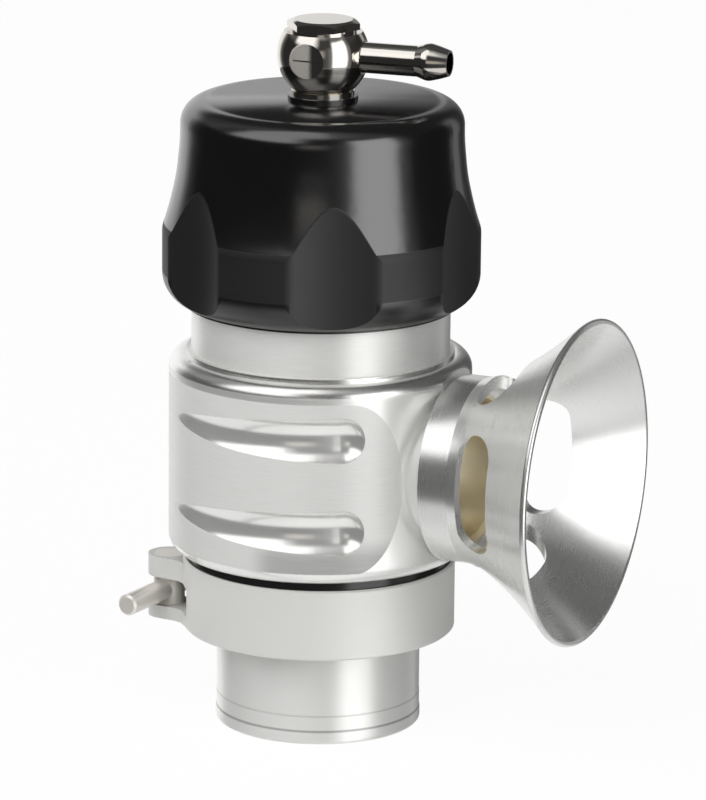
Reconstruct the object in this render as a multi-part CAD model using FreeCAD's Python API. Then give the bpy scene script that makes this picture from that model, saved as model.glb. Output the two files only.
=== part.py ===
"""Blow off valve with a screw-down cap, a clamped hose spigot and a trumpet outlet.

Millimetres, +Z up.  The origin is the centre of the inlet's open end, on the valve's axis.
The trumpet outlet points along +X.
"""
import FreeCAD, Part
import math
import os

V = FreeCAD.Vector
UP = V(0, 0, 1)

# Inlet spigot and its clamped joint
spigot_radius = 19.05        # takes a 38 mm hose
spigot_wall = 1.85
spigot_land_proud = 0.05     # faint step left by the lathe
spigot_land_top = 5.3
spigot_bead_proud = 0.17     # low bead that keeps the hose on
spigot_bead_top = 2.5
spigot_bead_height = 2.0
spigot_nose = 0.8
spigot_nose_drop = 0.35
spigot_relief = 0.35         # undercut inside the collar, below the flange
spigot_length = 18.1         # below the collar
joint_radius = 23.6          # flange and body skirt, inside the collar
flange_thickness = 3.0
flange_seal_section = 1.5

# Clamp collar
collar_radius = 25.5
collar_height = 13.3
collar_lip = 1.4
collar_rim_depth = 1.4       # counterbore that holds the black ring
collar_edge = 0.35
clamp_azimuth = 174.0        # where the collar is split
clamp_gap = 3.0
lug_spacing = 20.0           # between the two cross pins
lug_radius = 3.95
lug_offset = 26.83           # pin axes from the valve's axis, along the split
lug_top_drop = 1.4
lug_blend = 4.5
lug_root = 3.0               # how far the blend reaches into the ring
lug_slot_floor = 24.6        # radius of the slot's curved back wall
lug_slot_reach = 18.0        # half its span along the split
pin_radius = 2.95
screw_radius = 2.0
screw_height = 5.2           # above the collar's bottom face
screw_tail = 15.0            # beyond the threaded pin
screw_head_radius = 2.6
screw_head_seat = 0.3        # depth of the flat on the plain pin
screw_head_length = 3.0
screw_socket_flats = 2.5
lug_slot_height = 5.5

# Black ring between the collar and the body
ring_band = 1.6
ring_radius = 24.8

# Valve body
barrel_radius = 28.2
barrel_height = 37.7
barrel_lower_round = 3.0
barrel_upper_round = 2.8
step_radius = 24.9           # narrow step at the foot of the neck
step_height = 0.7
neck_radius = 24.05
neck_top_above_barrel = 27.3
neck_edge = 0.5
groove_cutter = 5.0
groove_depth = 2.5
groove_spread = 17.4         # between the upper and the lower groove
groove_lift = 0.3            # their middle above the outlet's axis
groove_shift = 1.94          # eccentricity that makes them run out to nothing
groove_shift_azimuth = -170.5
groove_deep_azimuth = -53.6
groove_start_azimuth = -150.0

# Outlet
outlet_height = 51.6
outlet_neck_radius = 15.0
outlet_face = 27.45          # where the trumpet meets the body
sleeve_bore = 12.9
sleeve_wall = 1.1
sleeve_back_gap = 0.4        # from the piston's bore
sleeve_end = 32.0
trumpet_radius = 17.35
trumpet_straight_end = 33.0
trumpet_mouth = 52.9
trumpet_mouth_radius = 30.1
trumpet_tube_bore = 14.9
trumpet_rim = 1.3
trumpet_power = 1.45         # how fast the flare opens
trumpet_points = 5
slot_start = 35.0
slot_width = 7.8
slot_length = 22.0

# Piston, seat and spring
piston_bore = 19.6
piston_clearance = 0.08
seat_bore = 14.8
seat_land = 1.6
seat_height = 38.0
seat_relief = 0.8
piston_length = 38.8
piston_floor = 3.8
piston_wall = 2.9
piston_edge = 0.4
piston_travel = 12.0
face_seal_width = 2.0
face_seal_thickness = 2.0
face_seal_proud = 0.2
ring_groove_height = 2.4
ring_groove_depth = 1.4
upper_ring_drop = 1.1
lower_ring_drop = 5.9
spring_radius = 14.3
spring_width = 2.4
spring_wire_height = 2.0
spring_turns = 6.0
perch_radius = 16.0
perch_thickness = 2.5
perch_boss_height = 4.0
perch_vent = 3.0
slip_washer_thickness = 1.0
slip_washer_radius = 13.5

# Cap
cap_bottom = 80.0
cap_height = 38.2
cap_radius = 29.5
cap_crown_radius = 26.2
cap_lower_round = 6.05
cap_upper_round = 4.3
cap_band_height = 13.6       # up to where the band starts to draw in
cap_skirt_angle = -72.0      # where the lower round ends
cap_top_wall = 6.0
cap_down_travel = 6.0
cap_thread_clearance = 0.08
cap_seal_section = 1.8
cap_seal_drop = 4.0          # below the top of the neck
flute_count = 6
flute_cutter = 26.7
flute_floor = 27.1
flute_shoulder = 4.0         # rounding between a flute and the band
flute_azimuth = -0.9
flute_overlap = 0.02
cap_boss_radius = 6.5
cap_boss_height = 1.0

# Banjo fitting
bolt_radius = 4.9
bolt_bore = 2.0
bolt_cross_bore = 1.5
bolt_head_flats = 12.0
bolt_head_height = 1.7
bolt_head_crown = 5.4        # where the head's chamfer starts
bolt_head_slope = 22.0
bolt_head_azimuth = 10.0
bolt_tip = 0.7               # above the cap's inner face
swivel_clearance = 0.1
lower_washer = 0.9
lower_washer_radius = 5.8
upper_washer = 0.5
upper_washer_radius = 6.1
eye_radius = 8.5
eye_height = 11.0
eye_ball_above_foot = 6.55
eye_groove_depth = 1.2
eye_groove_height = 4.4
flat_margin = 0.35           # ball's flats beyond what enters there
plug_radius = 2.85
plug_azimuth = -87.5
plug_slot_width = 0.3
plug_slot_depth = 0.4
nipple_azimuth = 6.0
nipple_radius = 2.85
nipple_bore = 2.0
nipple_tip_radius = 2.4
nipple_length = 24.3         # from the bolt's axis
barb_radius = 3.45
barb_start = 18.3
barb_crest = 20.4
barb_round = 0.7             # half the length of the barb's rounded crest
barb_drop = 0.1              # how far the crest falls at its ends

# Clearances shared by the pieces
through = 1.0                # how far a cut runs past the face it opens
seat_gap = 0.05              # a piece dropped into its recess
ring_gap = 0.03              # sliding rings to the bore
thread_gap = 0.02            # screwed or pressed joints
lip_gap = 0.25               # collar lip to the spigot
pass_gap = 0.15              # a screw through a plain hole
perch_gap = 0.2              # the perch to the cap and to its spring

# Levels that follow from the sizes above
collar_bottom = spigot_length
collar_top = collar_bottom + collar_height
flange_bottom = collar_bottom + collar_lip
joint_level = flange_bottom + flange_thickness
barrel_bottom = collar_top + ring_band
barrel_top = barrel_bottom + barrel_height
neck_foot = barrel_top + step_height
neck_top = barrel_top + neck_top_above_barrel
spigot_bore = spigot_radius - spigot_wall
piston_bottom = seat_height + face_seal_proud
piston_radius = piston_bore - piston_clearance
piston_cup = piston_radius - piston_wall
piston_top = piston_bottom + piston_length
spring_foot = piston_bottom + piston_floor
cap_top = cap_bottom + cap_height
cap_ceiling = cap_top - cap_top_wall
cap_bore = neck_radius + cap_thread_clearance
cap_bore_top = neck_top + cap_down_travel + neck_edge
cap_cavity = perch_radius + perch_gap
cap_band_top = cap_bottom + cap_band_height
sleeve_back = piston_bore + sleeve_back_gap
perch_top = cap_ceiling - slip_washer_thickness
perch_seat = perch_top - perch_thickness
spring_bore = spring_radius - spring_width / 2
register_radius = spring_bore - perch_gap
sleeve_radius = sleeve_bore + sleeve_wall
boss_top = cap_top + cap_boss_height
eye_foot = boss_top + lower_washer
eye_top = eye_foot + eye_height
ball_level = eye_foot + eye_ball_above_foot
head_level = eye_top + upper_washer
screw_level = collar_bottom + screw_height
cap_seal_level = neck_top - cap_seal_drop
cap_seal_floor = neck_radius - cap_seal_section
face_seal_inner = seat_bore + seat_land / 2 - face_seal_width / 2
face_seal_top = seat_height + face_seal_thickness
upper_ring_level = piston_top - upper_ring_drop - ring_groove_height
lower_ring_level = piston_top - lower_ring_drop - ring_groove_height
flange_seal_radius = (spigot_bore + joint_radius) / 2
lip_bore = spigot_radius + spigot_land_proud + lip_gap
collar_bore = joint_radius + seat_gap
rim_bore = ring_radius + seat_gap
lug_top = collar_top - lug_top_drop
pin_offset = lug_spacing / 2
head_plane = screw_head_seat - pin_offset - pin_radius


def outline(start, *steps):
    """Closed face in the r-z plane; a step is (r, z) for a line or (rm, zm, r, z) for an arc."""
    edges = []
    here = V(start[0], 0, start[1])
    first = here
    for step in steps:
        end = V(step[-2], 0, step[-1])
        if len(step) == 4:
            edges.append(Part.Arc(here, V(step[0], 0, step[1]), end).toShape())
        else:
            edges.append(Part.makeLine(here, end))
        here = end
    if here.distanceToPoint(first) > 1e-6:
        edges.append(Part.makeLine(here, first))
    return Part.Face(Part.Wire(edges))


def turned(face):
    return face.revolve(V(0, 0, 0), UP, 360)


def disc(radius, low, high):
    return Part.makeCylinder(radius, high - low, V(0, 0, low), UP)


def tube(inner, outer, low, high):
    return disc(outer, low, high).cut(disc(inner, low - through, high + through))


def corner(centre_r, centre_z, radius, degrees):
    """A point on a rounding."""
    angle = math.radians(degrees)
    return (centre_r + radius * math.cos(angle), centre_z + radius * math.sin(angle))


def to_outlet(shape):
    """Moves a piece modelled round Z so that its axis is the outlet's, with z as x."""
    copy = shape.copy()
    copy.rotate(V(0, 0, 0), V(0, 1, 0), 90)
    copy.translate(V(0, 0, outlet_height))
    return copy


def to_ball(shape, azimuth):
    """Moves a piece modelled round Z to point out of the banjo's ball at an azimuth."""
    copy = shape.copy()
    copy.rotate(V(0, 0, 0), V(0, 1, 0), 90)
    copy.rotate(V(0, 0, 0), UP, azimuth)
    copy.translate(V(0, 0, ball_level))
    return copy


def to_clamp(shape):
    """Turns a piece modelled with the collar's split along +X to its real azimuth."""
    copy = shape.copy()
    copy.rotate(V(0, 0, 0), UP, clamp_azimuth)
    return copy


def make_inlet_spigot():
    """Hose spigot with a low bead at its open end and a flange trapped in the collar."""
    bead = spigot_radius + spigot_bead_proud
    land = spigot_radius + spigot_land_proud
    root = spigot_radius - spigot_relief
    face = outline(
        (spigot_bore, 0),
        (bead - spigot_nose_drop, 0),
        (bead - spigot_nose_drop / 4, spigot_nose / 3, bead, spigot_nose),
        (bead, spigot_bead_height),
        (land, spigot_bead_top),
        (land, spigot_land_top),
        (spigot_radius, spigot_land_top + spigot_land_proud),
        (spigot_radius, collar_bottom),
        (root, collar_bottom + spigot_relief),
        (root, flange_bottom),
        (joint_radius, flange_bottom),
        (joint_radius, joint_level),
        (spigot_bore, joint_level),
    )
    groove_half = flange_seal_section / 2 + seat_gap
    groove = tube(
        flange_seal_radius - groove_half,
        flange_seal_radius + groove_half,
        joint_level - flange_seal_section,
        joint_level + through,
    )
    return turned(face).cut(groove)


def make_flange_seal():
    """Square-section ring in the flange's groove, under the skirt."""
    half = flange_seal_section / 2 - thread_gap
    middle = joint_level - flange_seal_section / 2
    return tube(flange_seal_radius - half, flange_seal_radius + half, middle - half, middle + half)


def lug_blank(side):
    """One ear of the collar, with its neck reaching into the ring and a hollow blend."""
    pin_y = side * pin_offset
    low = collar_bottom
    high = lug_top
    reach = lug_offset - collar_radius / 2
    block = Part.makeBox(
        reach, 2 * lug_radius, high - low, V(lug_offset - reach, pin_y - lug_radius, low)
    )
    end = Part.makeCylinder(lug_radius, high - low, V(lug_offset, pin_y, low), UP)
    return block.fuse(end)


def lug_hollow(side):
    """Hollow blend from the ear's outer side to the ring, as a prism with a concave face."""
    flat = pin_offset + lug_radius
    centre_y = flat + lug_blend
    centre_x = math.sqrt((collar_radius + lug_blend) ** 2 - centre_y ** 2)
    touch = collar_radius / (collar_radius + lug_blend)
    ring_point = (centre_x * touch, centre_y * touch)
    root_x = ring_point[0] - lug_root
    low = collar_bottom
    high = lug_top
    web = Part.Wire(
        Part.makePolygon(
            [
                V(centre_x, flat, low),
                V(centre_x, centre_y, low),
                V(ring_point[0], ring_point[1], low),
                V(root_x, ring_point[1] - lug_root, low),
                V(root_x, flat - lug_root, low),
                V(centre_x, flat - lug_root, low),
                V(centre_x, flat, low),
            ]
        )
    )
    prism = Part.Face(web).extrude(V(0, 0, high - low))
    prism = prism.cut(Part.makeCylinder(lug_blend, high - low, V(centre_x, centre_y, low), UP))
    if side < 0:
        prism = prism.mirror(V(0, 0, 0), V(0, 1, 0))
    return prism


def make_clamp_collar():
    """Split collar with two slotted ears; its lip carries the flange, its wall grips the skirt."""
    face = outline(
        (lip_bore, collar_bottom),
        (collar_radius - collar_edge, collar_bottom),
        (collar_radius, collar_bottom + collar_edge),
        (collar_radius, collar_top - collar_edge),
        (collar_radius - collar_edge, collar_top),
        (rim_bore, collar_top),
        (rim_bore, collar_top - collar_rim_depth),
        (collar_bore, collar_top - collar_rim_depth),
        (collar_bore, flange_bottom),
        (lip_bore, flange_bottom),
    )
    ring = turned(face)
    hollow = disc(collar_bore, flange_bottom, collar_top + through)
    hollow = hollow.fuse(disc(lip_bore, collar_bottom - through, collar_top))
    ears = []
    for side in (1, -1):
        ears.append(lug_blank(side).fuse(lug_hollow(side)).cut(hollow))
    collar = ring.fuse(ears)
    far = 2 * collar_radius
    cuts = [Part.makeBox(far, clamp_gap, far, V(0, -clamp_gap / 2, 0))]
    for side in (1, -1):
        pin_y = side * pin_offset
        cuts.append(Part.makeCylinder(pin_radius + thread_gap, far, V(lug_offset, pin_y, 0), UP))
    slot_low = screw_level - lug_slot_height / 2
    slot = Part.makeBox(far, 2 * lug_slot_reach, lug_slot_height, V(0, -lug_slot_reach, slot_low))
    cuts.append(slot.cut(disc(lug_slot_floor, slot_low - through, slot_low + lug_slot_height + through)))
    for cut in cuts:
        collar = collar.cut(cut)
    return to_clamp(collar.removeSplitter())


def cross_pin(side, hole_radius):
    """Upright pin in an ear, with a cross hole for the screw."""
    pin_y = side * pin_offset
    low = collar_bottom + lip_gap
    pin = Part.makeCylinder(pin_radius, lug_top - low, V(lug_offset, pin_y, low), UP)
    start = V(lug_offset, pin_y - 2 * pin_radius, screw_level)
    return pin.cut(Part.makeCylinder(hole_radius, 4 * pin_radius, start, V(0, 1, 0)))


def make_clamp_pin_threaded():
    """Cross pin that the screw threads into, on the side of the screw's tail."""
    return to_clamp(cross_pin(1, screw_radius + thread_gap))


def make_clamp_pin_plain():
    """Cross pin that the screw's head bears on, with a small flat."""
    pin = cross_pin(-1, screw_radius + pass_gap)
    flat = Part.makeBox(
        4 * pin_radius,
        pin_radius,
        lug_slot_height,
        V(lug_offset - 2 * pin_radius, head_plane - pin_radius, screw_level - lug_slot_height / 2),
    )
    return to_clamp(pin.cut(flat))


def make_clamp_screw():
    """Socket head screw through both cross pins, with its long plain-looking tail."""
    tail = pin_offset + screw_tail
    ahead = V(0, 1, 0)
    shank = Part.makeCylinder(screw_radius, tail - head_plane, V(lug_offset, head_plane, screw_level), ahead)
    tip = [edge for edge in shank.Edges if edge.CenterOfMass.y > tail - thread_gap]
    shank = shank.makeChamfer(screw_radius / 5, tip)
    head_start = V(lug_offset, head_plane - screw_head_length, screw_level)
    head = Part.makeCylinder(screw_head_radius, screw_head_length, head_start, ahead)
    socket = hexagon(screw_socket_flats, screw_head_length / 2)
    socket.rotate(V(0, 0, 0), V(1, 0, 0), -90)
    socket.translate(head_start)
    return to_clamp(head.cut(socket).fuse(shank).removeSplitter())


def hexagon(flats, height):
    """Upright hexagonal prism on the origin, with its corners along X."""
    corner_radius = flats / math.sqrt(3)
    points = []
    for index in range(7):
        angle = math.radians(60 * index)
        points.append(V(corner_radius * math.cos(angle), corner_radius * math.sin(angle), 0))
    return Part.Face(Part.makePolygon(points)).extrude(V(0, 0, height))


def make_collar_ring():
    """Black ring that shows between the collar and the body."""
    return tube(joint_radius + seat_gap, ring_radius, collar_top - collar_rim_depth, barrel_bottom)


def barrel_blank():
    """The barrel with its rounded ends."""
    low_r = barrel_radius - barrel_lower_round
    low_z = barrel_bottom + barrel_lower_round
    high_r = barrel_radius - barrel_upper_round
    high_z = barrel_top - barrel_upper_round
    face = outline(
        (0, barrel_bottom),
        (low_r, barrel_bottom),
        (*corner(low_r, low_z, barrel_lower_round, -45), barrel_radius, low_z),
        (barrel_radius, high_z),
        (*corner(high_r, high_z, barrel_upper_round, 45), high_r, barrel_top),
        (0, barrel_top),
    )
    return turned(face)


def outlet_side(barrel):
    """Adds the outlet's short neck and faces both flat for the trumpet."""
    neck = to_outlet(disc(outlet_neck_radius, 0, 2 * barrel_radius))
    far = 4 * barrel_radius
    room = Part.makeBox(far, far, far, V(outlet_face - far, -far / 2, -far / 4))
    return barrel.fuse(neck).common(room)


def groove(level, hand):
    """Horizontal ball-milled groove that runs out to nothing at its back end."""
    shift_angle = math.radians(groove_shift_azimuth)
    centre = V(groove_shift * math.cos(shift_angle), groove_shift * math.sin(shift_angle), level)
    deep_angle = math.radians(groove_deep_azimuth - groove_shift_azimuth)
    floor = barrel_radius - groove_shift * math.cos(deep_angle) - groove_depth
    path = floor + groove_cutter
    face = Part.Face(Part.Wire(Part.makeCircle(groove_cutter, V(path, 0, 0), V(0, 1, 0))))
    sweep = face.revolve(V(0, 0, 0), UP, groove_deep_azimuth - groove_start_azimuth)
    sweep.rotate(V(0, 0, 0), UP, groove_start_azimuth)
    end = math.radians(groove_deep_azimuth)
    ball = Part.makeSphere(groove_cutter, V(path * math.cos(end), path * math.sin(end), 0))
    cutter = sweep.fuse(ball)
    cutter.translate(centre)
    if hand < 0:
        cutter = cutter.mirror(V(0, 0, 0), V(0, 1, 0))
    return cutter


def body_hollow():
    """Inlet throat, raised seat, piston bore and the outlet's bore."""
    throat = outline(
        (0, joint_level - through),
        (spigot_bore, joint_level - through),
        (spigot_bore, joint_level),
        (seat_bore, seat_height - seat_bore / 3),
        (seat_bore, seat_height),
        (seat_bore + seat_land, seat_height),
        (seat_bore + seat_land, seat_height - seat_relief),
        (piston_bore, seat_height - seat_relief),
        (piston_bore, neck_top + through),
        (0, neck_top + through),
    )
    port = disc(sleeve_bore, piston_bore / 2, outlet_face + through)
    socket = disc(sleeve_radius + thread_gap, sleeve_back, outlet_face + through)
    return [turned(throat), to_outlet(port), to_outlet(socket)]


def make_valve_body():
    """Turned body: skirt, grooved barrel, threaded neck and the outlet's short faced neck."""
    body = outlet_side(barrel_blank())
    for level in (-groove_spread / 2, groove_spread / 2):
        for hand in (1, -1):
            body = body.cut(groove(outlet_height + groove_lift + level, hand))
    skirt = disc(joint_radius, joint_level, barrel_bottom + through)
    step = disc(step_radius, barrel_top - step_height, neck_foot)
    neck = turned(
        outline(
            (0, barrel_top - through),
            (neck_radius, barrel_top - through),
            (neck_radius, neck_top - neck_edge),
            (neck_radius - neck_edge, neck_top),
            (0, neck_top),
        )
    )
    body = body.fuse([skirt, step, neck])
    groove_low = cap_seal_level - cap_seal_section / 2 - seat_gap
    groove_high = cap_seal_level + cap_seal_section / 2 + seat_gap
    seal_groove = tube(cap_seal_floor, neck_radius + through, groove_low, groove_high)
    for cut in body_hollow() + [seal_groove]:
        body = body.cut(cut)
    return body.removeSplitter()


def make_cap_seal():
    """Square-section ring in the neck's groove that seals the cap's chamber."""
    half = cap_seal_section / 2 - thread_gap
    middle = cap_seal_floor + cap_seal_section / 2
    return tube(middle - half, middle + half, cap_seal_level - half, cap_seal_level + half)


def make_outlet_sleeve():
    """Brass threaded sleeve that joins the trumpet to the body."""
    face = outline(
        (sleeve_bore, sleeve_back),
        (sleeve_radius, sleeve_back),
        (sleeve_radius, sleeve_end),
        (sleeve_bore + sleeve_wall / 3, sleeve_end),
        (sleeve_bore, sleeve_end - sleeve_wall),
    )
    return to_outlet(turned(face))


def flare_point(share):
    """Radius, axial place and slope angle of the trumpet's outer face, along its flare."""
    length = trumpet_mouth - trumpet_straight_end
    rise = trumpet_mouth_radius - trumpet_radius
    radius = trumpet_radius + rise * share ** trumpet_power
    slope = rise / length * trumpet_power * share ** (trumpet_power - 1)
    return radius, trumpet_straight_end + length * share, math.atan(slope)


def make_outlet_trumpet():
    """Spun bell with four through slots in its throat and a rounded rim."""
    base_wall = trumpet_radius - trumpet_tube_bore
    outer = []
    inner = []
    for step in range(trumpet_points + 1):
        share = step / trumpet_points
        radius, place, slope = flare_point(share)
        wall = base_wall + (trumpet_rim - base_wall) * share
        outer.append(V(radius, 0, place))
        inner.append(V(radius - wall * math.cos(slope), 0, place + wall * math.sin(slope)))
    rim_slope = flare_point(1.0)[2]
    middle = (outer[-1] + inner[-1]) / 2
    ahead = V(math.sin(rim_slope), 0, math.cos(rim_slope))
    rim_point = middle + ahead * (trumpet_rim / 2)
    outer_curve = Part.BSplineCurve()
    outer_curve.interpolate(outer)
    inner_curve = Part.BSplineCurve()
    inner_curve.interpolate(inner)
    socket = sleeve_radius + thread_gap
    socket_end = sleeve_end + thread_gap
    corners = [
        inner[0],
        V(trumpet_tube_bore, 0, socket_end),
        V(socket, 0, socket_end),
        V(socket, 0, outlet_face),
        V(trumpet_radius, 0, outlet_face),
        outer[0],
    ]
    edges = []
    for start, end in zip(corners[:-1], corners[1:]):
        edges.append(Part.makeLine(start, end))
    edges.append(outer_curve.toShape())
    edges.append(Part.Arc(outer[-1], rim_point, inner[-1]).toShape())
    edges.append(inner_curve.toShape())
    bell = turned(Part.Face(Part.Wire(Part.sortEdges(edges)[0])))
    for turn in (0, 90):
        cutter = slot_cutter()
        cutter.rotate(V(0, 0, 0), UP, turn)
        bell = bell.cut(cutter)
    return to_outlet(bell)


def slot_cutter():
    """Stadium prism that goes right through two opposite walls of the trumpet."""
    radius = slot_width / 2
    half = slot_length / 2 - radius
    middle = slot_start + radius
    deep = 2 * trumpet_mouth_radius
    cutter = Part.makeBox(deep, 2 * half, slot_width, V(-deep / 2, -half, slot_start))
    for side in (1, -1):
        end = Part.makeCylinder(radius, deep, V(-deep / 2, side * half, middle), V(1, 0, 0))
        cutter = cutter.fuse(end)
    return cutter


def ring_groove(level):
    """Square groove round the piston, from its lower edge."""
    outer = piston_radius + through
    return tube(piston_radius - ring_groove_depth, outer, level, level + ring_groove_height)


def make_piston():
    """Cup piston: sealing face recess below, spring register inside, two ring grooves outside."""
    edge = piston_edge
    face = outline(
        (0, piston_bottom + piston_floor / 3),
        (face_seal_inner / 2, piston_bottom),
        (piston_radius - edge, piston_bottom),
        (piston_radius, piston_bottom + edge),
        (piston_radius, piston_top - edge),
        (piston_radius - edge, piston_top),
        (piston_cup, piston_top),
        (piston_cup, spring_foot),
        (register_radius, spring_foot),
        (register_radius - edge, spring_foot + spring_wire_height),
        (register_radius - edge - piston_floor, spring_foot + spring_wire_height),
        (register_radius - edge - piston_floor, spring_foot),
        (0, spring_foot),
    )
    piston = turned(face)
    recess = tube(
        face_seal_inner - seat_gap,
        face_seal_inner + face_seal_width + 2 * seat_gap,
        piston_bottom - through,
        face_seal_top,
    )
    for cut in (recess, ring_groove(lower_ring_level), ring_groove(upper_ring_level)):
        piston = piston.cut(cut)
    return piston


def make_piston_face_seal():
    """Rubber ring in the piston's face that closes on the seat."""
    return tube(face_seal_inner, face_seal_inner + face_seal_width, seat_height, face_seal_top)


def piston_ring(level):
    inner = piston_radius - ring_groove_depth + seat_gap
    return tube(inner, piston_bore - ring_gap, level + seat_gap, level + ring_groove_height - seat_gap)


def make_piston_seal():
    return piston_ring(lower_ring_level)


def make_piston_guide_ring():
    return piston_ring(upper_ring_level)


def make_valve_spring():
    """Flat-wire closing spring with ground ends, between the piston's floor and the perch."""
    free = perch_seat - spring_foot
    pitch = (free + spring_wire_height) / spring_turns
    low = spring_foot - spring_wire_height
    helix = Part.makeHelix(pitch, free + 2 * spring_wire_height, spring_radius)
    half = spring_width / 2
    section = Part.makePolygon(
        [
            V(spring_radius - half, 0, -spring_wire_height / 2),
            V(spring_radius + half, 0, -spring_wire_height / 2),
            V(spring_radius + half, 0, spring_wire_height / 2),
            V(spring_radius - half, 0, spring_wire_height / 2),
            V(spring_radius - half, 0, -spring_wire_height / 2),
        ]
    )
    wire = Part.Wire(helix).makePipeShell([section], True, True)
    wire.translate(V(0, 0, low))
    return wire.common(disc(spring_radius + spring_width, spring_foot, perch_seat))


def make_spring_perch():
    """Flanged disc that the cap pushes the spring down with, vented through its middle."""
    boss = tube(perch_vent, register_radius, perch_seat - perch_boss_height, perch_seat)
    return tube(perch_vent, perch_radius, perch_seat, perch_top).fuse(boss).removeSplitter()


def make_slip_washer():
    """Thin washer that lets the cap turn on the perch."""
    return tube(perch_vent, slip_washer_radius, perch_top, cap_ceiling)


def flare_curve():
    """Concave outer line of the cap from its band up to its crown."""
    rise = cap_top - cap_upper_round - cap_band_top
    drop = cap_radius - cap_crown_radius
    points = []
    for height, fall in ((0, 0), (0.09, 0.12), (0.24, 0.39), (0.39, 0.61), (0.54, 0.79), (0.73, 0.92), (1, 1)):
        points.append(V(cap_radius - drop * fall, 0, cap_band_top + rise * height))
    curve = Part.BSplineCurve()
    curve.interpolate(Points=points, InitialTangent=V(0, 0, 1), FinalTangent=V(0, 0, 1))
    return curve


def flute_prism():
    """Upright cutter for one flute along +X: a wide hollow whose two shoulders are rounded."""
    away = flute_floor + flute_cutter
    band = cap_radius + flute_overlap
    shoulder_r = band - flute_shoulder
    reach = flute_cutter + flute_shoulder
    turn = math.acos((away ** 2 + shoulder_r ** 2 - reach ** 2) / (2 * away * shoulder_r))
    centre = V(shoulder_r * math.cos(turn), shoulder_r * math.sin(turn), 0)
    hollow_centre = V(away, 0, 0)
    inward = (hollow_centre - centre).normalize()
    outward = V(centre).normalize()
    middle = (inward + outward).normalize()
    on_band = centre + outward * flute_shoulder
    on_shoulder = centre + middle * flute_shoulder
    on_flute = centre + inward * flute_shoulder
    far = outward * (2 * cap_radius)
    other = [V(point.x, -point.y, 0) for point in (on_band, on_shoulder, on_flute, far)]
    edges = [
        Part.Arc(on_band, on_shoulder, on_flute).toShape(),
        Part.Arc(on_flute, V(flute_floor, 0, 0), other[2]).toShape(),
        Part.Arc(other[2], other[1], other[0]).toShape(),
        Part.makeLine(other[0], other[3]),
        Part.makeLine(other[3], far),
        Part.makeLine(far, on_band),
    ]
    prism = Part.Face(Part.Wire(edges)).extrude(UP * cap_height)
    prism.translate(V(0, 0, cap_bottom - through))
    return prism


def make_cap():
    """Screw-down cap: concave crown over a fluted grip band, bored for the neck and the perch."""
    flare = flare_curve()
    low_r = cap_radius - cap_lower_round
    low_z = cap_bottom + cap_lower_round
    low_mid = corner(low_r, low_z, cap_lower_round, cap_skirt_angle / 2)
    low_foot = corner(low_r, low_z, cap_lower_round, cap_skirt_angle)
    high_r = cap_crown_radius - cap_upper_round
    high_z = cap_top - cap_upper_round
    high_mid = corner(high_r, high_z, cap_upper_round, 45)
    edges = [
        Part.makeLine(V(cap_bore, 0, cap_bottom), V(low_foot[0], 0, cap_bottom)),
        Part.makeLine(V(low_foot[0], 0, cap_bottom), V(low_foot[0], 0, low_foot[1])),
        Part.Arc(
            V(low_foot[0], 0, low_foot[1]), V(low_mid[0], 0, low_mid[1]), V(cap_radius, 0, low_z)
        ).toShape(),
        Part.makeLine(V(cap_radius, 0, low_z), V(cap_radius, 0, cap_band_top)),
        flare.toShape(),
        Part.Arc(
            V(cap_crown_radius, 0, high_z), V(high_mid[0], 0, high_mid[1]), V(high_r, 0, cap_top)
        ).toShape(),
    ]
    inside = [
        V(high_r, 0, cap_top),
        V(cap_boss_radius, 0, cap_top),
        V(cap_boss_radius, 0, boss_top),
        V(bolt_radius + thread_gap, 0, boss_top),
        V(bolt_radius + thread_gap, 0, cap_ceiling),
        V(cap_cavity, 0, cap_ceiling),
        V(cap_cavity, 0, cap_bore_top),
        V(cap_bore, 0, cap_bore_top),
        V(cap_bore, 0, cap_bottom),
    ]
    for start, end in zip(inside[:-1], inside[1:]):
        edges.append(Part.makeLine(start, end))
    cap = turned(Part.Face(Part.Wire(Part.sortEdges(edges)[0])))
    for index in range(flute_count):
        cutter = flute_prism()
        cutter.rotate(V(0, 0, 0), UP, flute_azimuth + 360 * index / flute_count)
        cap = cap.cut(cutter)
    return cap


def make_banjo_bolt():
    """Low hexagon bolt, drilled up its middle and across at the level of the ball."""
    head = hexagon(bolt_head_flats, bolt_head_height)
    head.rotate(V(0, 0, 0), UP, bolt_head_azimuth)
    head.translate(V(0, 0, head_level))
    head_top = head_level + bolt_head_height
    corner_radius = bolt_head_flats / math.sqrt(3)
    fall = (corner_radius - bolt_head_crown) * math.tan(math.radians(bolt_head_slope))
    crown = outline(
        (0, head_level - through),
        (corner_radius, head_level - through),
        (corner_radius, head_top - fall),
        (bolt_head_crown, head_top),
        (0, head_top),
    )
    head = head.common(turned(crown))
    tip = cap_ceiling + bolt_tip
    bolt = head.fuse(disc(bolt_radius, tip, head_level))
    bolt = bolt.cut(disc(bolt_bore, tip - through, ball_level + bolt_cross_bore))
    for ahead in (V(1, 0, 0), V(0, 1, 0)):
        start = V(0, 0, ball_level) - ahead * (2 * bolt_radius)
        bolt = bolt.cut(Part.makeCylinder(bolt_cross_bore, 4 * bolt_radius, start, ahead))
    return bolt.removeSplitter()


def make_banjo_washer_lower():
    return tube(bolt_radius + swivel_clearance, lower_washer_radius, boss_top, eye_foot)


def make_banjo_washer_upper():
    return tube(bolt_radius + swivel_clearance, upper_washer_radius, eye_top, head_level)


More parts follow.
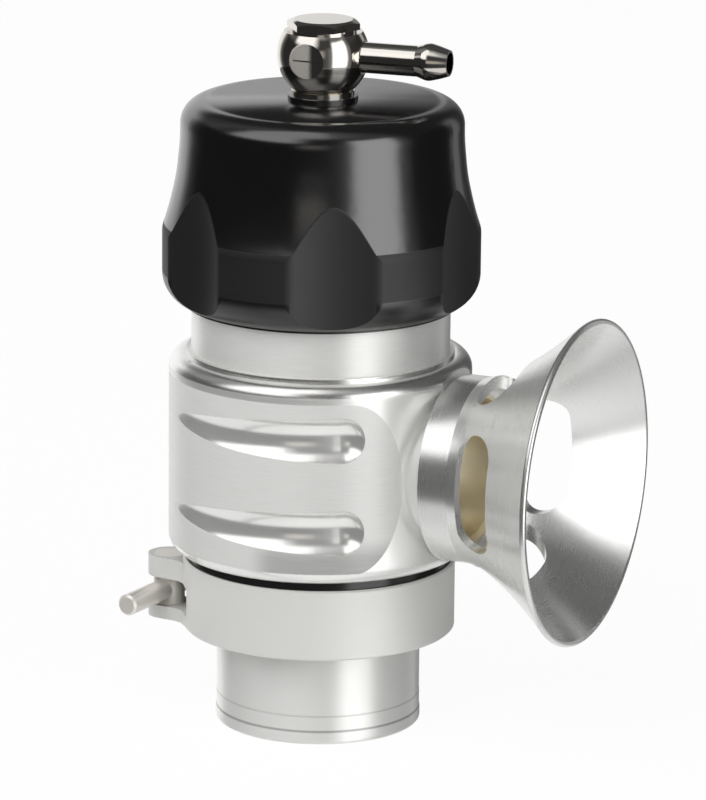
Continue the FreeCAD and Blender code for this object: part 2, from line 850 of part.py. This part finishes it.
def make_banjo_eye():
    """Ball-shaped eye with an inner groove, cut flat where the plug and the nipple enter."""
    eye = Part.makeSphere(eye_radius, V(0, 0, ball_level))
    eye = eye.common(disc(eye_radius + through, eye_foot, eye_top))
    bore = bolt_radius + swivel_clearance
    eye = eye.cut(disc(bore, eye_foot - through, eye_top + through))
    half = eye_groove_height / 2
    eye = eye.cut(tube(bore - through, bore + eye_groove_depth, ball_level - half, ball_level + half))
    for azimuth, radius in ((plug_azimuth, plug_radius), (nipple_azimuth, nipple_radius)):
        reach = flat_reach(radius)
        facing = disc(2 * eye_radius, reach, 2 * eye_radius)
        hole = disc(radius + thread_gap, bolt_radius, 2 * eye_radius)
        eye = eye.cut(to_ball(facing, azimuth)).cut(to_ball(hole, azimuth))
    return eye


def flat_reach(radius):
    """Distance from the ball's centre to a flat a little wider than what enters there."""
    return math.sqrt(eye_radius ** 2 - (radius + flat_margin) ** 2)


def make_banjo_plug():
    """Pressed plug that closes the drilling opposite the nipple's thread."""
    inner = bolt_radius + swivel_clearance + eye_groove_depth
    outer = flat_reach(plug_radius)
    plug = disc(plug_radius, inner, outer)
    slot_corner = V(-plug_slot_width / 2, -plug_radius, outer - plug_slot_depth)
    slot = Part.makeBox(plug_slot_width, 2 * plug_radius, 2 * plug_slot_depth, slot_corner)
    return to_ball(plug.cut(slot), plug_azimuth)


def make_hose_nipple():
    """Barbed tube for the vacuum hose."""
    inner = bolt_radius + swivel_clearance + eye_groove_depth
    crest = barb_radius - barb_drop
    ramp_mid = ((nipple_radius + barb_radius) / 2 - barb_drop / 2, (barb_start + barb_crest - barb_round) / 2)
    nose_mid = ((barb_radius + nipple_tip_radius) / 2 + barb_drop, (barb_crest + nipple_length) / 2)
    face = outline(
        (nipple_bore, inner),
        (nipple_radius, inner),
        (nipple_radius, barb_start),
        ramp_mid,
        (crest, barb_crest - barb_round),
        (barb_radius, barb_crest, crest, barb_crest + barb_round),
        (*nose_mid, nipple_tip_radius, nipple_length),
        (nipple_bore, nipple_length),
    )
    return to_ball(turned(face), nipple_azimuth)


nodes = {
    "inlet_spigot": make_inlet_spigot,
    "flange_seal": make_flange_seal,
    "clamp_collar": make_clamp_collar,
    "clamp_pin_threaded": make_clamp_pin_threaded,
    "clamp_pin_plain": make_clamp_pin_plain,
    "clamp_screw": make_clamp_screw,
    "collar_ring": make_collar_ring,
    "valve_body": make_valve_body,
    "cap_seal": make_cap_seal,
    "outlet_sleeve": make_outlet_sleeve,
    "outlet_trumpet": make_outlet_trumpet,
    "piston": make_piston,
    "piston_face_seal": make_piston_face_seal,
    "piston_seal": make_piston_seal,
    "piston_guide_ring": make_piston_guide_ring,
    "valve_spring": make_valve_spring,
    "spring_perch": make_spring_perch,
    "slip_washer": make_slip_washer,
    "cap": make_cap,
    "banjo_bolt": make_banjo_bolt,
    "banjo_washer_lower": make_banjo_washer_lower,
    "banjo_washer_upper": make_banjo_washer_upper,
    "banjo_eye": make_banjo_eye,
    "banjo_plug": make_banjo_plug,
    "hose_nipple": make_hose_nipple,
}

os.makedirs("parts", exist_ok=True)
for name, make in nodes.items():
    shape = make()
    shape.exportStep(f"parts/{name}.step")
    print(name, len(shape.Solids), round(shape.Volume, 1), shape.isValid())
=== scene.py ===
"""Gives the blow off valve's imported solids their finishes, and sets the camera and the studio."""

import bpy
import math

from mathutils import Matrix, Vector

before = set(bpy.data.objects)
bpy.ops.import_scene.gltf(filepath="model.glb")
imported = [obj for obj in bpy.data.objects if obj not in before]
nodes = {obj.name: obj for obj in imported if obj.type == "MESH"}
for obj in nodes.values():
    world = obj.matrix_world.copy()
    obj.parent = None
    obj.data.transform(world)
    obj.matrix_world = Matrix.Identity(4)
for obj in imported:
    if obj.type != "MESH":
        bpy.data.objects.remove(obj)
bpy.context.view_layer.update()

# The photo's camera, fitted to the valve's circles, in metres. Its place is in the part's axes,
# and camera_turn brings its three directions into them.
camera_place = Vector((0.4317, -0.9469, 0.33015))
camera_turn = math.radians(24.51)
camera_right = Vector((0.99995, -0.00337, 0.00968))
camera_up = Vector((-0.00853, 0.25025, 0.96814))
camera_ahead = Vector((0.00569, 0.96818, -0.25021))
focal_pixels = 5771.67
picture_height = 800
sensor_mm = 36.0

# The valve's own axis and its outlet's.
axis_up = (0.0, 0.0, 1.0)
axis_out = (1.0, 0.0, 0.0)
outlet_level = 0.0516

# Where finishes change on the CAD part, in metres up from the rim or out from an axis. A soft
# length is how far a change takes.
# The spigot's bead and land are where lines of painted shade lie.
spigot_bead = 0.0021
spigot_bead_end = 0.0025
spigot_bead_soft = 0.0003
spigot_land = 0.0051
spigot_land_end = 0.0054
spigot_land_soft = 0.0002
barrel_radius = 0.0282
barrel_skin = 0.00010
barrel_top = 0.0712
barrel_top_round = 0.0030
barrel_top_round_soft = 0.0006
neck_soft = 0.0002
outlet_radius = 0.01505
outlet_radius_soft = 0.00005
outlet_start = 0.0236
outlet_start_soft = 0.0002
joint_reach = 0.0165
joint_start = 0.0190
joint_soft = 0.0025
joint_round = 0.0025
plug_face = -0.00782
plug_face_soft = 0.00005
cap_top = 0.1182
cap_top_start = 0.0006
cap_top_full = 0.0002
cap_satin_radius = 0.0215
cap_satin_soft = 0.0010
cap_dome_lean = 22.0
cap_band_low = 0.0862
cap_band_low_soft = 0.0003
cap_band_high = 0.0952
cap_band_high_soft = 0.0001
flute_centre = 0.0538
flute_cutter = 0.0267
flute_edge = 0.00003
flute_edge_soft = 0.00009
flute_share = math.radians(60.0)
flute_azimuth = math.radians(-0.9)

# The matte field round the barrel ends in half an ellipse beside the outlet, at equal bearings to
# both sides. Its lower margin on the outlet's half is darkened with painted shade.
field_level = 0.0512
field_half_height = 0.0161
field_end = math.radians(53.6)
field_end_length = math.radians(20.5)
field_shade_low = 0.0375
field_shade_high = 0.0425
field_shade_bearing = math.radians(82.0)
field_shade_bearing_end = math.radians(94.0)

pale_metal = (0.88, 0.88, 0.86)
# The next colour is painted shade for the lines on the spigot.
spigot_painted_shade = (0.30, 0.30, 0.29)
collar_metal = (0.74, 0.74, 0.72)
# The next colour is painted shade, laid into the collar's recesses.
collar_painted_shade = (0.22, 0.22, 0.21)

# A quarter turn of the anisotropy spreads a highlight across the lathe's rings.
quarter_turn = 0.25
lathe_pitch = 9000.0
body_pitch = 7000.0


class Graph:
    """A short way to write shader nodes: inputs take a number, a colour or a node's output."""

    def __init__(self, tree):
        self.tree = tree

    def node(self, kind, **settings):
        made = self.tree.nodes.new(kind)
        for key, value in settings.items():
            setattr(made, key, value)
        return made

    def feed(self, socket, value):
        if isinstance(value, bpy.types.NodeSocket):
            self.tree.links.new(value, socket)
        else:
            socket.default_value = value

    def math(self, operation, *values):
        made = self.node("ShaderNodeMath", operation=operation)
        for socket, value in zip(made.inputs, values):
            self.feed(socket, value)
        return made.outputs[0]

    def vector(self, operation, *values):
        made = self.node("ShaderNodeVectorMath", operation=operation)
        for socket, value in zip(made.inputs, values):
            self.feed(socket, value)
        return made.outputs[0]

    def dot(self, first, second):
        made = self.node("ShaderNodeVectorMath", operation="DOT_PRODUCT")
        self.feed(made.inputs[0], first)
        self.feed(made.inputs[1], second)
        return made.outputs["Value"]

    def scaled(self, vector, share):
        made = self.node("ShaderNodeVectorMath", operation="SCALE")
        self.feed(made.inputs[0], vector)
        self.feed(made.inputs["Scale"], share)
        return made.outputs[0]

    def parts(self, vector):
        made = self.node("ShaderNodeSeparateXYZ")
        self.feed(made.inputs[0], vector)
        return made.outputs[0], made.outputs[1], made.outputs[2]

    def joined(self, *values):
        made = self.node("ShaderNodeCombineXYZ")
        for socket, value in zip(made.inputs, values):
            self.feed(socket, value)
        return made.outputs[0]

    def rise(self, value, low, high, result_low=0.0, result_high=1.0):
        made = self.node("ShaderNodeMapRange", interpolation_type="SMOOTHSTEP")
        self.feed(made.inputs["Value"], value)
        made.inputs["From Min"].default_value = low
        made.inputs["From Max"].default_value = high
        made.inputs["To Min"].default_value = result_low
        made.inputs["To Max"].default_value = result_high
        return made.outputs[0]

    def fall(self, value, low, high):
        return self.rise(value, low, high, 1.0, 0.0)

    def band(self, value, low, high, soft):
        return self.both(self.rise(value, low, low + soft), self.fall(value, high, high + soft))

    def both(self, first, second):
        return self.math("MULTIPLY", first, second)

    def either(self, first, second):
        return self.math("MAXIMUM", first, second)

    def other(self, value):
        return self.math("SUBTRACT", 1.0, value)

    def added(self, value, share, base):
        return self.math("MULTIPLY_ADD", value, share, base)

    def squares(self, first, second):
        return self.math("ADD", self.both(first, first), self.both(second, second))

    def mix(self, share, first, second):
        made = self.node("ShaderNodeMix", data_type="FLOAT")
        self.feed(made.inputs[0], share)
        self.feed(made.inputs[2], first)
        self.feed(made.inputs[3], second)
        return made.outputs[0]

    def blend(self, share, first, second):
        made = self.node("ShaderNodeMix", data_type="RGBA")
        self.feed(made.inputs[0], share)
        self.feed(made.inputs[6], (*first, 1.0))
        self.feed(made.inputs[7], (*second, 1.0))
        return made.outputs[2]

    def noise(self, vector, scale, detail=2.0):
        made = self.node("ShaderNodeTexNoise")
        self.feed(made.inputs["Vector"], vector)
        made.inputs["Scale"].default_value = scale
        made.inputs["Detail"].default_value = detail
        return made.outputs[0]

    def bump(self, height, strength, distance, below=None):
        made = self.node("ShaderNodeBump")
        self.feed(made.inputs["Strength"], strength)
        made.inputs["Distance"].default_value = distance
        self.feed(made.inputs["Height"], height)
        if below is not None:
            self.feed(made.inputs["Normal"], below)
        return made.outputs[0]

    def place(self):
        return self.node("ShaderNodeTexCoord").outputs["Object"]


def new_material(name, colour, metallic, roughness):
    material = bpy.data.materials.new(name)
    material.use_nodes = True
    graph = Graph(material.node_tree)
    shader = material.node_tree.nodes["Principled BSDF"]
    shader.inputs["Base Color"].default_value = (*colour, 1.0)
    shader.inputs["Metallic"].default_value = metallic
    shader.inputs["Roughness"].default_value = roughness
    return material, graph, shader


def dress(names, material):
    for name in names:
        slots = nodes[name].data.materials
        slots.clear()
        slots.append(material)


def ring_distance(graph, place, axis):
    """The distance of a point from the valve's axis, or from the outlet's."""
    x, y, z = graph.parts(place)
    if axis == axis_up:
        first, second = x, y
    else:
        first, second = y, graph.math("SUBTRACT", z, outlet_level)
    return graph.math("SQRT", graph.squares(first, second))


def lathe_rings(graph, place, along, distance, pitch, wander):
    """A noise that is the same all the way round, but for a slow wander, as turned rings are."""
    around = graph.noise(place, wander, 1.0)
    grain = graph.joined(graph.both(along, pitch), graph.both(distance, pitch), around)
    return graph.noise(grain, 1.0, 3.0)


def turned_marks(graph, shader, axis, fine, spread, waver):
    """Fine rings left by the lathe: a stretched grain, and a highlight spread across them."""
    place = graph.place()
    along = graph.parts(place)[2] if axis == axis_up else graph.parts(place)[0]
    rings = lathe_rings(graph, place, along, ring_distance(graph, place, axis), lathe_pitch, 60.0)
    cloud = graph.noise(place, 220.0, 3.0)
    tone = graph.added(rings, spread, -0.5 * spread)
    tone = graph.added(cloud, waver, tone)
    base = shader.inputs["Roughness"].default_value
    graph.feed(shader.inputs["Roughness"], graph.math("ADD", tone, base - 0.5 * waver))
    centred = place
    if axis == axis_out:
        centred = graph.vector("SUBTRACT", place, (0.0, 0.0, outlet_level))
    graph.feed(shader.inputs["Tangent"], graph.vector("CROSS_PRODUCT", axis, centred))
    shader.inputs["Anisotropic Rotation"].default_value = quarter_turn
    graph.feed(shader.inputs["Normal"], graph.bump(rings, fine, 0.00002))
    return place


def turned_aluminium():
    """The spigot: turned, with a painted line of shade over its bead and a fainter one above."""
    material, graph, shader = new_material("turned_aluminium", pale_metal, 0.6, 0.46)
    shader.inputs["Anisotropic"].default_value = 0.88
    place = turned_marks(graph, shader, axis_up, fine=0.20, spread=0.06, waver=0.05)
    z = graph.parts(place)[2]
    bead = graph.band(z, spigot_bead, spigot_bead_end, spigot_bead_soft)
    land = graph.band(z, spigot_land, spigot_land_end, spigot_land_soft)
    # Painted shade: dark lines over the bead and, fainter, over the land.
    shade_lines = graph.added(land, 0.35, graph.both(bead, 0.75))
    graph.feed(shader.inputs["Base Color"], graph.blend(shade_lines, pale_metal, spigot_painted_shade))
    return material


def satin_aluminium():
    """The collar: blasted, and darkened with painted shade where its slots and ears shelter it."""
    material, graph, shader = new_material("satin_aluminium", collar_metal, 0.42, 0.55)
    place = graph.place()
    # Painted shade: an ambient occlusion node darkens the colour in the slots and beside the ears.
    shelter = graph.node("ShaderNodeAmbientOcclusion", samples=8)
    shelter.inputs["Distance"].default_value = 0.005
    unshaded_share = graph.rise(shelter.outputs["AO"], 0.05, 0.60)
    colour = graph.blend(unshaded_share, collar_painted_shade, collar_metal)
    graph.feed(shader.inputs["Base Color"], colour)
    grain = graph.noise(place, 9000.0, 2.0)
    cloud = graph.noise(place, 160.0, 3.0)
    graph.feed(shader.inputs["Roughness"], graph.added(cloud, 0.08, 0.51))
    graph.feed(shader.inputs["Normal"], graph.bump(grain, 0.4, 0.00003))
    return material


def matte_field(graph, skin, bearing, z):
    """The barrel's matte field, the grooves' hollows inside it, and painted shade on its lower
    margin.
    """
    past = graph.added(bearing, -1.0 / field_end_length, field_end / field_end_length)
    past = graph.math("MAXIMUM", past, 0.0)
    aside = graph.added(z, 1.0 / field_half_height, -field_level / field_half_height)
    ellipse = graph.squares(past, aside)
    field = graph.both(skin, graph.fall(ellipse, 0.985, 1.015))
    hollow = graph.both(graph.other(skin), graph.fall(ellipse, 1.0, 1.02))
    # Painted shade: the field's lower margin, on the outlet's half, is made darker.
    low = graph.both(field, graph.fall(z, field_shade_low, field_shade_high))
    low = graph.both(low, graph.fall(bearing, field_shade_bearing, field_shade_bearing_end))
    return field, hollow, low


def machined_aluminium():
    """The body: turned neck, polished grooves and rounds, and a matte field round the barrel."""
    material, graph, shader = new_material("machined_aluminium", pale_metal, 0.6, 0.26)
    place = graph.place()
    x, y, z = graph.parts(place)
    distance = ring_distance(graph, place, axis_up)
    from_outlet = ring_distance(graph, place, axis_out)
    bearing = graph.math("ABSOLUTE", graph.math("ARCTAN2", y, x))

    skin_start = barrel_radius - barrel_skin
    skin = graph.rise(distance, skin_start, skin_start + 0.5 * barrel_skin)
    field, hollow, low = matte_field(graph, skin, bearing, z)
    neck = graph.rise(z, barrel_top, barrel_top + neck_soft)
    turned = graph.either(field, neck)
    round_start = barrel_top - barrel_top_round
    top_round = graph.rise(z, round_start, round_start + barrel_top_round_soft)
    top_round = graph.both(graph.both(graph.other(skin), top_round), graph.other(neck))
    outlet = graph.fall(from_outlet, outlet_radius, outlet_radius + outlet_radius_soft)
    outlet = graph.both(outlet, graph.rise(x, outlet_start, outlet_start + outlet_start_soft))

    rings = lathe_rings(graph, place, z, distance, body_pitch, 50.0)
    cloud = graph.noise(place, 200.0, 3.0)
    rough = graph.mix(hollow, graph.mix(skin, 0.20, 0.32), 0.135)
    rough = graph.mix(turned, rough, 0.45)
    rough = graph.mix(outlet, rough, 0.50)
    rough = graph.added(rings, 0.05, rough)
    rough = graph.added(cloud, 0.04, rough)
    graph.feed(shader.inputs["Roughness"], rough)

    metallic = graph.mix(graph.either(turned, outlet), 0.76, 0.60)
    metallic = graph.mix(top_round, metallic, 0.95)
    graph.feed(shader.inputs["Metallic"], graph.mix(field, metallic, 0.34))
    spread = graph.mix(neck, graph.mix(field, 0.30, 0.70), 0.88)
    graph.feed(shader.inputs["Anisotropic"], spread)
    shader.inputs["Anisotropic Rotation"].default_value = quarter_turn
    graph.feed(shader.inputs["Tangent"], graph.vector("CROSS_PRODUCT", axis_up, place))

    streaks = graph.joined(graph.both(z, 3600.0), graph.both(bearing, 5.0))
    streaks = graph.math("SUBTRACT", graph.noise(streaks, 1.0, 3.0), 0.5)
    shade = graph.added(streaks, graph.mix(turned, 0.0, 0.11), 1.0)
    # Painted shade darkens the field's lower margin on the outlet's half.
    shade = graph.added(low, -0.30, shade)
    shade = graph.added(field, -0.24, shade)
    graph.feed(shader.inputs["Base Color"], graph.scaled(pale_metal, shade))

    joint = graph.fall(from_outlet, joint_reach, joint_reach + joint_soft)
    joint = graph.both(joint, graph.rise(x, joint_start, joint_start + joint_soft))
    rounded = graph.node("ShaderNodeBevel", samples=8)
    graph.feed(rounded.inputs["Radius"], graph.both(joint, joint_round))
    strength = graph.mix(field, 0.06, 0.45)
    normal = graph.bump(rings, strength, 0.00003, rounded.outputs[0])
    graph.feed(shader.inputs["Normal"], normal)
    return material


def polished_aluminium():
    material, graph, shader = new_material("polished_aluminium", (0.86, 0.86, 0.845), 0.9, 0.27)
    shader.inputs["Anisotropic"].default_value = 0.4
    turned_marks(graph, shader, axis_out, fine=0.02, spread=0.02, waver=0.02)
    return material


def brass():
    material, graph, shader = new_material("brass", (0.86, 0.77, 0.55), 0.9, 0.34)
    shader.inputs["Anisotropic"].default_value = 0.5
    turned_marks(graph, shader, axis_out, fine=0.15, spread=0.08, waver=0.06)
    return material


def flute_mask(graph, x, y, distance):
    """The hollow of the nearest flute: each is cut by a round cutter that stands off the cap."""
    angle = graph.math("ARCTAN2", y, x)
    shifted = graph.math("ADD", angle, 2.0 * math.pi + 0.5 * flute_share - flute_azimuth)
    folded = graph.math("MODULO", shifted, flute_share)
    folded = graph.math("SUBTRACT", folded, 0.5 * flute_share)
    across = graph.both(distance, graph.math("COSINE", folded))
    across = graph.math("SUBTRACT", across, flute_centre)
    aside = graph.both(distance, graph.math("SINE", folded))
    reach = graph.math("SQRT", graph.squares(across, aside))
    edge = flute_cutter + flute_edge
    return graph.fall(reach, edge, edge + flute_edge_soft)


def black_anodised():
    """The cap: gloss sides, a satin top that looks slightly domed, matte flutes and band."""
    material, graph, shader = new_material("black_anodised", (0.002, 0.002, 0.0025), 0.0, 0.12)
    shader.inputs["IOR"].default_value = 2.05
    place = graph.place()
    x, y, z = graph.parts(place)
    distance = ring_distance(graph, place, axis_up)

    above = graph.rise(z, cap_band_low - cap_band_low_soft, cap_band_low + cap_band_low_soft)
    below = graph.fall(z, cap_band_high - cap_band_high_soft, cap_band_high + cap_band_high_soft)
    matte = graph.either(flute_mask(graph, x, y, distance), graph.both(above, below))
    foot = graph.other(above)
    satin_start = cap_satin_radius - cap_satin_soft
    satin = graph.fall(distance, satin_start, satin_start + 2.0 * cap_satin_soft)
    satin = graph.both(graph.rise(z, cap_top - cap_top_start, cap_top - cap_top_full), satin)

    grain = graph.noise(place, 8000.0, 2.0)
    cloud = graph.noise(place, 180.0, 3.0)
    rough = graph.mix(foot, 0.16, 0.30)
    rough = graph.mix(matte, rough, 0.52)
    rough = graph.mix(satin, rough, 0.20)
    graph.feed(shader.inputs["Roughness"], graph.added(cloud, 0.04, rough))

    # The flutes' rounded shoulders face aside, and mirror a little less.
    minus_y = graph.both(y, -1.0)
    around = graph.joined(
        graph.math("DIVIDE", minus_y, distance),
        graph.math("DIVIDE", x, distance),
    )
    own_normal = graph.node("ShaderNodeTexCoord").outputs["Normal"]
    aside = graph.math("ABSOLUTE", graph.dot(own_normal, around))
    mirror = graph.mix(graph.rise(aside, 0.04, 0.14), 0.5, 0.34)
    mirror = graph.mix(graph.either(matte, foot), mirror, 0.28)
    graph.feed(shader.inputs["Specular IOR Level"], mirror)

    lean = graph.both(satin, cap_dome_lean)
    lean = graph.joined(graph.both(x, lean), graph.both(y, lean))
    facing = graph.node("ShaderNodeNewGeometry").outputs["Normal"]
    domed = graph.vector("NORMALIZE", graph.vector("ADD", facing, lean))
    strength = graph.mix(graph.either(matte, satin), 0.03, 0.35)
    graph.feed(shader.inputs["Normal"], graph.bump(grain, strength, 0.00002, domed))
    return material


def nickel():
    """The banjo fitting: bright plate, and a brushed face on the plug."""
    material, graph, shader = new_material("nickel", (0.70, 0.67, 0.62), 1.0, 0.06)
    place = graph.place()
    cloud = graph.noise(place, 300.0, 3.0)
    swell = graph.noise(place, 420.0, 1.0)
    flat = graph.fall(graph.parts(place)[1], plug_face - plug_face_soft, plug_face)
    brushed = graph.noise(graph.vector("MULTIPLY", place, (300.0, 1.0, 9000.0)), 1.0, 2.0)
    graph.feed(shader.inputs["Metallic"], graph.mix(flat, 1.0, 0.7))
    rough = graph.added(cloud, 0.06, graph.mix(flat, 0.03, 0.40))
    graph.feed(shader.inputs["Roughness"], rough)
    waves = graph.bump(swell, 0.18, 0.0001)
    strength = graph.mix(flat, 0.0, 0.5)
    graph.feed(shader.inputs["Normal"], graph.bump(brushed, strength, 0.00003, waves))
    return material


def stainless():
    material, graph, shader = new_material("stainless", (0.78, 0.75, 0.70), 0.55, 0.30)
    cloud = graph.noise(graph.place(), 900.0, 3.0)
    graph.feed(shader.inputs["Roughness"], graph.added(cloud, 0.10, 0.27))
    graph.feed(shader.inputs["Normal"], graph.bump(cloud, 0.06, 0.00005))
    return material


def plain(name, colour, metallic, roughness, grain_size):
    material, graph, shader = new_material(name, colour, metallic, roughness)
    grain = graph.noise(graph.place(), grain_size, 3.0)
    graph.feed(shader.inputs["Roughness"], graph.added(grain, 0.12, roughness - 0.06))
    graph.feed(shader.inputs["Normal"], graph.bump(grain, 0.10, 0.00003))
    return material


dress(["inlet_spigot"], turned_aluminium())
dress(["clamp_collar"], satin_aluminium())
dress(["valve_body"], machined_aluminium())
dress(["outlet_trumpet"], polished_aluminium())
dress(["outlet_sleeve"], brass())
dress(["cap"], black_anodised())
dress(
    [
        "banjo_eye", "banjo_bolt", "banjo_plug", "banjo_washer_lower", "banjo_washer_upper",
        "hose_nipple",
    ],
    nickel(),
)
dress(["clamp_pin_threaded", "clamp_pin_plain", "clamp_screw"], stainless())
dress(
    ["piston", "spring_perch"],
    plain("piston_aluminium", (0.72, 0.72, 0.72), 1.0, 0.30, 900.0),
)
dress(["valve_spring"], plain("spring_steel", (0.36, 0.36, 0.37), 1.0, 0.30, 1500.0))
dress(["collar_ring"], plain("black_ring", (0.012, 0.012, 0.012), 0.0, 0.14, 700.0))
dress(
    ["flange_seal", "cap_seal", "piston_face_seal", "piston_seal"],
    plain("seal_rubber", (0.03, 0.03, 0.03), 0.0, 0.5, 1200.0),
)
dress(
    ["slip_washer", "piston_guide_ring"],
    plain("guide_plastic", (0.75, 0.72, 0.64), 0.0, 0.45, 900.0),
)


def photo_camera():
    turn = Matrix.Rotation(camera_turn, 4, "Z")
    data = bpy.data.cameras.new("photo_camera")
    data.sensor_width = sensor_mm
    data.lens = focal_pixels * sensor_mm / picture_height
    data.clip_start = 0.01
    data.clip_end = 20.0
    camera = bpy.data.objects.new("photo_camera", data)
    bpy.context.scene.collection.objects.link(camera)
    side = turn @ camera_right
    upward = turn @ camera_up
    back = turn @ -camera_ahead
    camera.matrix_world = Matrix((
        (side.x, upward.x, back.x, camera_place.x),
        (side.y, upward.y, back.y, camera_place.y),
        (side.z, upward.z, back.z, camera_place.z),
        (0.0, 0.0, 0.0, 1.0),
    ))
    bpy.context.scene.camera = camera


def studio_world():
    """A white backdrop for the camera. All else sees rings of light and shade, whose stops are
    (bearing in degrees, level), with a tall soft box at the right and a small warm strip."""
    world = bpy.data.worlds.new("studio")
    world.use_nodes = True
    graph = Graph(world.node_tree)
    background = world.node_tree.nodes["Background"]
    direction = graph.node("ShaderNodeTexCoord").outputs["Generated"]
    x, y, z = graph.parts(direction)
    turn_share = graph.added(graph.math("ARCTAN2", y, x), 0.5 / math.pi, 0.5)
    height = graph.math("MULTIPLY", graph.math("ARCSINE", z), 180.0 / math.pi)
    full_level = 5.0

    def ramp(stops):
        made = graph.node("ShaderNodeValToRGB")
        made.color_ramp.interpolation = "EASE"
        points = made.color_ramp.elements
        points.remove(points[1])
        for count, (degrees, level) in enumerate(stops):
            share = (degrees + 180.0) / 360.0
            point = points[0] if count == 0 else points.new(share)
            point.position = share
            point.color = (level / full_level, level / full_level, level / full_level, 1.0)
        graph.feed(made.inputs[0], turn_share)
        return graph.math("MULTIPLY", made.outputs[0], full_level)

    level_ring = ramp([
        (-180, 0.03), (-84, 0.03), (-66, 0.06), (-56, 0.11), (-46, 0.22), (6, 0.22), (12, 0.04),
        (58, 0.03), (66, 0.45), (74, 0.45), (80, 0.08), (92, 0.06), (106, 0.25), (116, 0.90),
        (130, 1.05), (152, 1.05), (160, 0.45), (167, 0.10), (180, 0.03),
    ])
    upper_ring = ramp([
        (-180, 0.25), (-164, 0.12), (-158, 0.12), (-144, 1.4), (-98, 1.4), (-74, 0.06),
        (-50, 0.06), (-38, 0.20), (0, 0.20), (14, 0.06), (140, 0.06), (160, 0.15), (180, 0.25),
    ])
    high_ring = ramp([
        (-180, 0.25), (-162, 0.20), (-146, 1.3), (-74, 1.3), (-46, 0.40), (0, 0.20), (14, 0.06),
        (150, 0.08), (180, 0.25),
    ])
    ground_ring = ramp([
        (-180, 0.80), (-140, 0.80), (-129, 0.75), (-122, 0.30), (-115, 0.80), (-60, 0.90),
        (-45, 0.9), (-20, 0.9), (0, 0.70), (14, 0.60), (34, 0.50), (54, 0.70), (75, 0.80),
        (100, 0.8), (180, 0.80),
    ])
    box_ring = ramp([
        (-180, 0.0), (-46, 0.0), (-36, 1.0), (-8, 1.0), (2, 0.0), (180, 0.0),
    ])
    strip_ring = ramp([
        (-180, 0.0), (-90, 0.0), (-78, 1.0), (-70, 1.0), (-56, 0.0), (180, 0.0),
    ])
    studio = graph.mix(graph.rise(height, 19.0, 30.0), level_ring, upper_ring)
    studio = graph.mix(graph.rise(height, 42.0, 60.0), studio, high_ring)
    studio = graph.mix(graph.rise(height, 80.0, 88.0), studio, 0.15)
    studio = graph.mix(graph.fall(height, -34.0, -24.0), studio, ground_ring)
    box = graph.both(graph.rise(height, -26.0, -20.0), graph.fall(height, 32.0, 42.0))
    studio = graph.mix(graph.both(box_ring, box), studio, 2.2)
    strip = graph.both(graph.rise(height, -4.0, 6.0), graph.fall(height, 12.0, 24.0))
    strip = graph.both(strip_ring, strip)
    studio = graph.mix(strip, studio, 0.50)

    seen = graph.node("ShaderNodeLightPath").outputs["Is Camera Ray"]
    graph.feed(background.inputs["Strength"], graph.mix(seen, studio, 1.0))
    warm = graph.both(strip, graph.other(seen))
    colour = graph.blend(warm, (1.0, 1.0, 1.0), (1.0, 0.93, 0.84))
    graph.feed(background.inputs["Color"], colour)
    bpy.context.scene.world = world


def pale_floor():
    """A white floor that keeps the valve's own soft shadow."""
    bpy.ops.mesh.primitive_circle_add(vertices=96, radius=3.0, fill_type="NGON")
    floor = bpy.context.object
    floor.name = "floor"
    material, graph, shader = new_material("floor", (0.9, 0.9, 0.9), 0.0, 0.9)
    shader.inputs["Specular IOR Level"].default_value = 0.0
    glow = graph.node("ShaderNodeEmission")
    glow.inputs["Color"].default_value = (1.0, 1.0, 1.0, 1.0)
    glow.inputs["Strength"].default_value = 1.0
    path = graph.node("ShaderNodeLightPath")
    seen = graph.either(path.outputs["Is Camera Ray"], path.outputs["Is Glossy Ray"])
    seen = graph.either(seen, path.outputs["Is Transmission Ray"])
    mixed = graph.node("ShaderNodeMixShader")
    graph.feed(mixed.inputs[0], graph.both(seen, 0.95))
    graph.feed(mixed.inputs[1], shader.outputs[0])
    graph.feed(mixed.inputs[2], glow.outputs[0])
    output = material.node_tree.nodes["Material Output"]
    graph.feed(output.inputs["Surface"], mixed.outputs[0])
    floor.data.materials.append(material)
    floor.visible_glossy = False


def soft_light(name, bearing, elevation, power):
    """A square lamp 1.5 m from the valve's middle. It shows in no mirror: the world does that."""
    distance = 1.5
    width = 1.2
    middle = Vector((0.0, 0.0, 0.06))
    data = bpy.data.lights.new(name, "AREA")
    data.shape = "RECTANGLE"
    data.size = width
    data.size_y = width
    data.energy = power
    lamp = bpy.data.objects.new(name, data)
    bpy.context.scene.collection.objects.link(lamp)
    flat = distance * math.cos(math.radians(elevation))
    away = Vector((
        flat * math.cos(math.radians(bearing)),
        flat * math.sin(math.radians(bearing)),
        distance * math.sin(math.radians(elevation)),
    ))
    lamp.location = middle + away
    lamp.rotation_euler = away.to_track_quat("Z", "Y").to_euler()
    lamp.visible_camera = False
    lamp.visible_glossy = False


photo_camera()
studio_world()
pale_floor()
soft_light("key", -90.0, 35.0, 14.0)
soft_light("left_fill", -165.0, 15.0, 8.0)
soft_light("right_fill", 20.0, 15.0, 5.0)
bpy.context.scene.view_settings.view_transform = "Standard"
